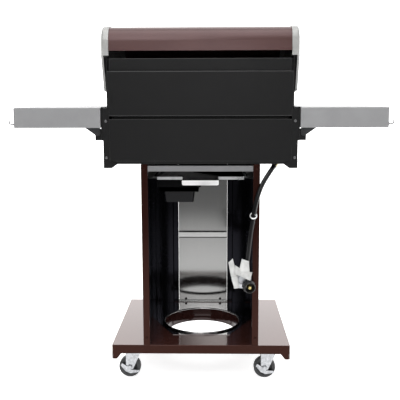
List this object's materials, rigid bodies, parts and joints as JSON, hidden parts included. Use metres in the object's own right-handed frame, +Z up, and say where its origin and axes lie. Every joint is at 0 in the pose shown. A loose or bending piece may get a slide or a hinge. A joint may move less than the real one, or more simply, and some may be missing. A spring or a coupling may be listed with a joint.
{
  "type": "gas grill",
  "caption": "Pedestal-cart gas grill with a hinged lid, fold-down side shelves, control knobs, slide-out drip tray, gas hose with regulator and an open back for the cylinder.",
  "frame": {"origin": "on the floor, under the middle of the grill's box, measured without the hose", "axes": "+X to the right of the cook, who stands at -Y facing the grill; +Y to the open back, where the cylinder goes in; +Z up"},
  "size_m": [1.242, 0.6348, 1.187],
  "materials": {
    "espresso_paint": "gloss enamel",
    "dark_grey_paint": "semi-gloss",
    "mid_grey_paint": "satin",
    "silver_paint": "satin",
    "black_enamel": "gloss enamel",
    "charcoal_steel": "satin",
    "brushed_stainless": "brushed",
    "zinc_steel": "zinc plated",
    "aluminised_steel": "mill finish",
    "chrome": "polished",
    "porcelain_iron": "porcelain coated",
    "cast_zinc": "as cast",
    "brass": "machined",
    "black_plastic": "moulded",
    "grey_tread": "matte",
    "hose_rubber": "matte",
    "paper": "plain",
    "glass": "clear"
  },
  "bodies": {
    "cart": {"base_pan": "espresso_paint", "caster_mounts": "black_enamel", "well_plate": "black_enamel", "tank_well": "black_enamel", "left_pedestal_side": "espresso_paint", "right_pedestal_side": "espresso_paint", "front_panel": "brushed_stainless", "front_brace": "brushed_stainless", "rear_crossbar": "mid_grey_paint", "support_frame": "mid_grey_paint", "firebox": "dark_grey_paint", "upper_rear_panel": "dark_grey_paint", "rear_baffle": "dark_grey_paint", "lower_rear_panel": "dark_grey_paint", "left_body_side": "dark_grey_paint", "right_body_side": "dark_grey_paint", "control_panel": "brushed_stainless", "control_bezels": "chrome", "manifold": "aluminised_steel", "gas_valves": "brass", "burners": "aluminised_steel", "heat_tents": "aluminised_steel", "cooking_grates": "porcelain_iron", "warming_rack": "chrome", "shelf_brackets": "black_enamel", "pivot_pins": "zinc_steel", "body_screws": "zinc_steel", "hose_fitting": "brass", "gas_hose": "hose_rubber", "regulator": "cast_zinc", "tank_nut": "black_plastic"},
    "lid": {"lid_skin": "espresso_paint", "left_lid_cap": "silver_paint", "right_lid_cap": "silver_paint", "lid_handle": "chrome", "thermometer": "chrome"},
    "left_folding_shelf": {"left_shelf": "mid_grey_paint", "left_shelf_fittings": "charcoal_steel"},
    "right_folding_shelf": {"right_shelf": "mid_grey_paint", "right_shelf_fittings": "charcoal_steel"},
    "ignition_button": {"igniter_button": "black_plastic"},
    "tray": {"drip_tray": "silver_paint", "cup_holder": "silver_paint"},
    "cup": {"grease_cup": "charcoal_steel"},
    "left_valve": {"left_valve_stem": "brass"},
    "left_control": {"left_knob": "black_plastic"},
    "middle_valve": {"middle_valve_stem": "brass"},
    "middle_control": {"middle_knob": "black_plastic"},
    "right_valve": {"right_valve_stem": "brass"},
    "right_control": {"right_knob": "black_plastic"},
    "rear_left_caster": {"rear_left_fork": "zinc_steel"},
    "rear_left_roller": {"rear_left_wheel": "grey_tread"},
    "rear_left_brake": {"rear_left_brake_lever": "chrome"},
    "rear_right_caster": {"rear_right_fork": "zinc_steel"},
    "rear_right_roller": {"rear_right_wheel": "grey_tread"},
    "rear_right_brake": {"rear_right_brake_lever": "chrome"},
    "front_left_caster": {"front_left_fork": "zinc_steel"},
    "front_left_roller": {"front_left_wheel": "grey_tread"},
    "front_right_caster": {"front_right_fork": "zinc_steel"},
    "front_right_roller": {"front_right_wheel": "grey_tread"}
  },
  "joints": [
    {"name": "lid_hinge", "type": "hinge", "parent": "cart", "child": "lid", "pos_m": [0, 0.186, 1.01], "axis": [-1, 0, 0], "range_deg": [0, 75]},
    {"name": "left_shelf_fold", "type": "hinge", "parent": "cart", "child": "left_folding_shelf", "pos_m": [-0.332, 0, 0.845], "axis": [0, -1, 0], "range_deg": [0, 90]},
    {"name": "right_shelf_fold", "type": "hinge", "parent": "cart", "child": "right_folding_shelf", "pos_m": [0.332, 0, 0.845], "axis": [0, 1, 0], "range_deg": [0, 90]},
    {"name": "igniter_press", "type": "slide", "parent": "cart", "child": "ignition_button", "axis": [0, 1, 0], "range_m": [0, 0.004], "stiffness_N_per_m": 800},
    {"name": "tray_slide", "type": "slide", "parent": "cart", "child": "tray", "axis": [0, 1, 0], "range_m": [0, 0.3]},
    {"name": "cup_slide", "type": "slide", "parent": "tray", "child": "cup", "axis": [0, 1, 0], "range_m": [0, 0.13]},
    {"name": "left_valve_press", "type": "slide", "parent": "cart", "child": "left_valve", "axis": [0, 1, 0], "range_m": [0, 0.003], "stiffness_N_per_m": 1000},
    {"name": "left_knob_turn", "type": "hinge", "parent": "left_valve", "child": "left_control", "pos_m": [-0.15, -0.276, 0.862], "axis": [0, -1, 0], "range_deg": [0, 135]},
    {"name": "middle_valve_press", "type": "slide", "parent": "cart", "child": "middle_valve", "axis": [0, 1, 0], "range_m": [0, 0.003], "stiffness_N_per_m": 1000},
    {"name": "middle_knob_turn", "type": "hinge", "parent": "middle_valve", "child": "middle_control", "pos_m": [0, -0.276, 0.862], "axis": [0, -1, 0], "range_deg": [0, 135]},
    {"name": "right_valve_press", "type": "slide", "parent": "cart", "child": "right_valve", "axis": [0, 1, 0], "range_m": [0, 0.003], "stiffness_N_per_m": 1000},
    {"name": "right_knob_turn", "type": "hinge", "parent": "right_valve", "child": "right_control", "pos_m": [0.15, -0.276, 0.862], "axis": [0, -1, 0], "range_deg": [0, 135]},
    {"name": "rear_left_swivel", "type": "hinge", "parent": "cart", "child": "rear_left_caster", "pos_m": [-0.233, 0.226, 0.0975], "axis": [0, 0, 1], "continuous": true},
    {"name": "rear_left_brake_press", "type": "hinge", "parent": "rear_left_caster", "child": "rear_left_brake", "pos_m": [-0.219, 0.226, 0.0375], "axis": [0, -1, 0], "range_deg": [0, 18]},
    {"name": "rear_left_roll", "type": "hinge", "parent": "rear_left_caster", "child": "rear_left_roller", "pos_m": [-0.219, 0.226, 0.0375], "axis": [0, 1, 0], "continuous": true},
    {"name": "rear_right_swivel", "type": "hinge", "parent": "cart", "child": "rear_right_caster", "pos_m": [0.233, 0.226, 0.0975], "axis": [0, 0, 1], "continuous": true},
    {"name": "rear_right_brake_press", "type": "hinge", "parent": "rear_right_caster", "child": "rear_right_brake", "pos_m": [0.247, 0.226, 0.0375], "axis": [0, -1, 0], "range_deg": [0, 18]},
    {"name": "rear_right_roll", "type": "hinge", "parent": "rear_right_caster", "child": "rear_right_roller", "pos_m": [0.247, 0.226, 0.0375], "axis": [0, 1, 0], "continuous": true},
    {"name": "front_left_swivel", "type": "hinge", "parent": "cart", "child": "front_left_caster", "pos_m": [-0.233, -0.168, 0.0975], "axis": [0, 0, 1], "continuous": true},
    {"name": "front_left_roll", "type": "hinge", "parent": "front_left_caster", "child": "front_left_roller", "pos_m": [-0.219, -0.168, 0.0375], "axis": [0, 1, 0], "continuous": true},
    {"name": "front_right_swivel", "type": "hinge", "parent": "cart", "child": "front_right_caster", "pos_m": [0.233, -0.168, 0.0975], "axis": [0, 0, 1], "continuous": true},
    {"name": "front_right_roll", "type": "hinge", "parent": "front_right_caster", "child": "front_right_roller", "pos_m": [0.247, -0.168, 0.0375], "axis": [0, 1, 0], "continuous": true}
  ]
}
